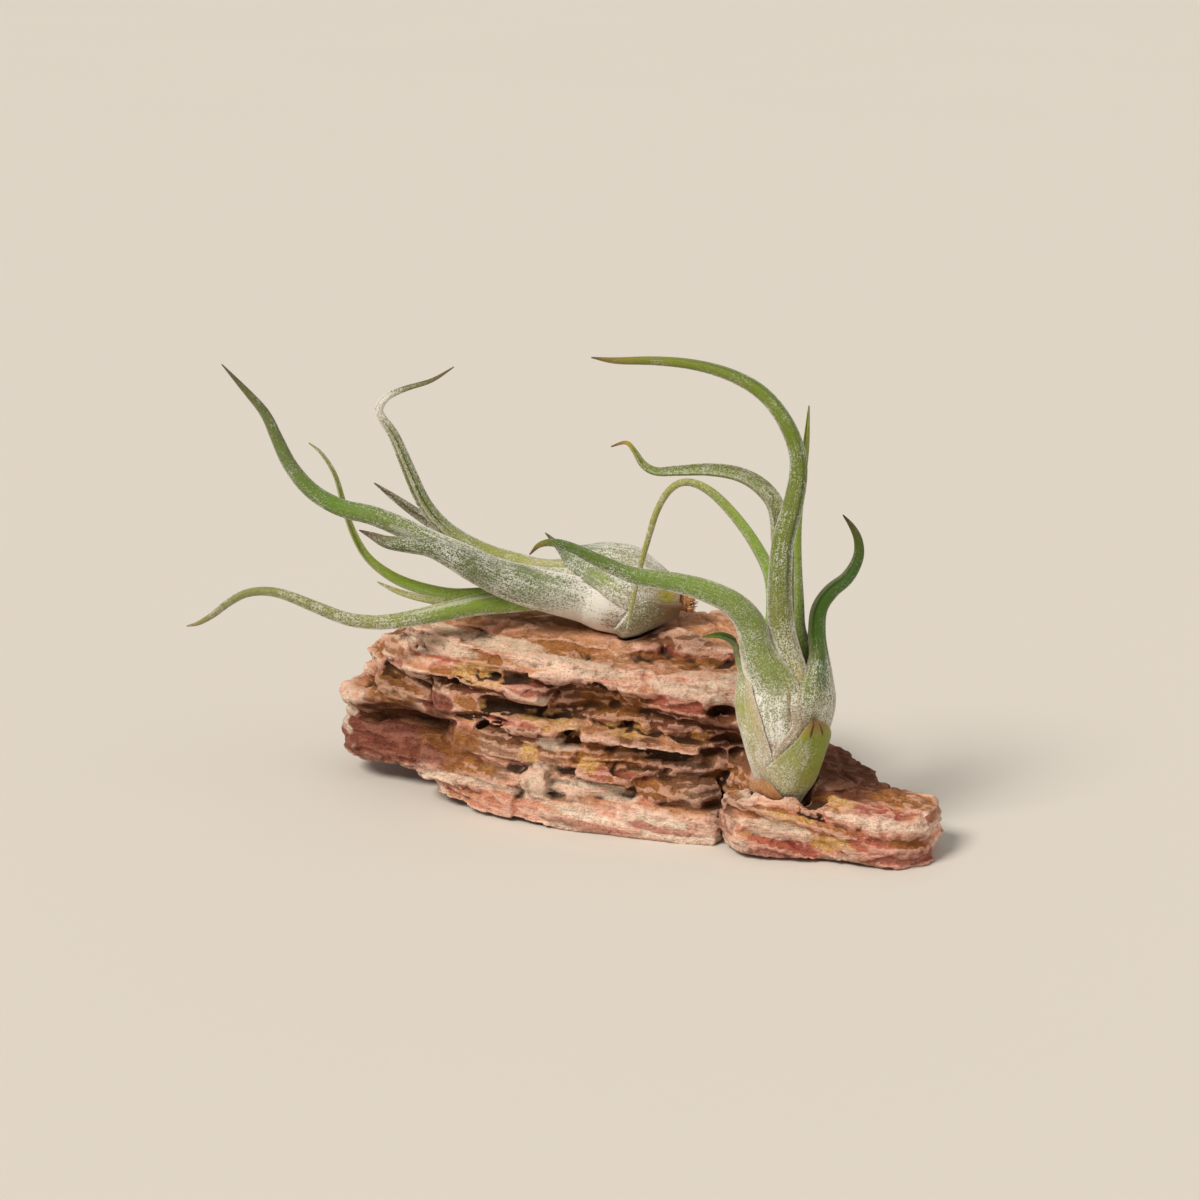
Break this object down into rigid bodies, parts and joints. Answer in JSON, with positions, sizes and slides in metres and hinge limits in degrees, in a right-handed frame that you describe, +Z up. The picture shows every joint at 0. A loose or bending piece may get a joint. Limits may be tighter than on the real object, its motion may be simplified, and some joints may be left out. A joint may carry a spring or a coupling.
{
  "type": "medusa head air plants on a layered stone",
  "caption": "Bulbous air plants with long twisting channelled leaves, one upright in a pocket and one lying on top of a long layered stone.",
  "frame": {"origin": "on the ground under the stone, on its flat underside", "axes": "+Z up; +X along the stone, towards its low end with the upright plant; +Y towards the back"},
  "size_m": [0.2488, 0.1169, 0.163],
  "materials": {
    "leaf_green": "matte",
    "sheath_frosted": "matte",
    "dry_fibre": "matte",
    "stone": "matte"
  },
  "bodies": {
    "root": {"upright_stem": "dry_fibre", "upright_leaf_tall_arch": "leaf_green", "upright_leaf_inner_spike": "leaf_green", "upright_leaf_hanging": "leaf_green", "upright_leaf_curled_tip": "leaf_green", "upright_leaf_front": "leaf_green", "upright_leaf_right": "leaf_green", "upright_leaf_small_left": "leaf_green", "upright_sheath_lower": "sheath_frosted", "upright_sheath_dry": "dry_fibre", "lying_stem": "dry_fibre", "lying_leaf_long_upper": "leaf_green", "lying_leaf_curled_back": "leaf_green", "lying_leaf_lower_long": "leaf_green", "lying_leaf_spike": "leaf_green", "lying_leaf_rear_short": "leaf_green", "lying_leaf_rear_long": "leaf_green", "lying_leaf_front_short": "leaf_green", "lying_leaf_top_short": "leaf_green", "lying_sheath_base": "sheath_frosted", "stone": "stone"}
  },
  "joints": []
}
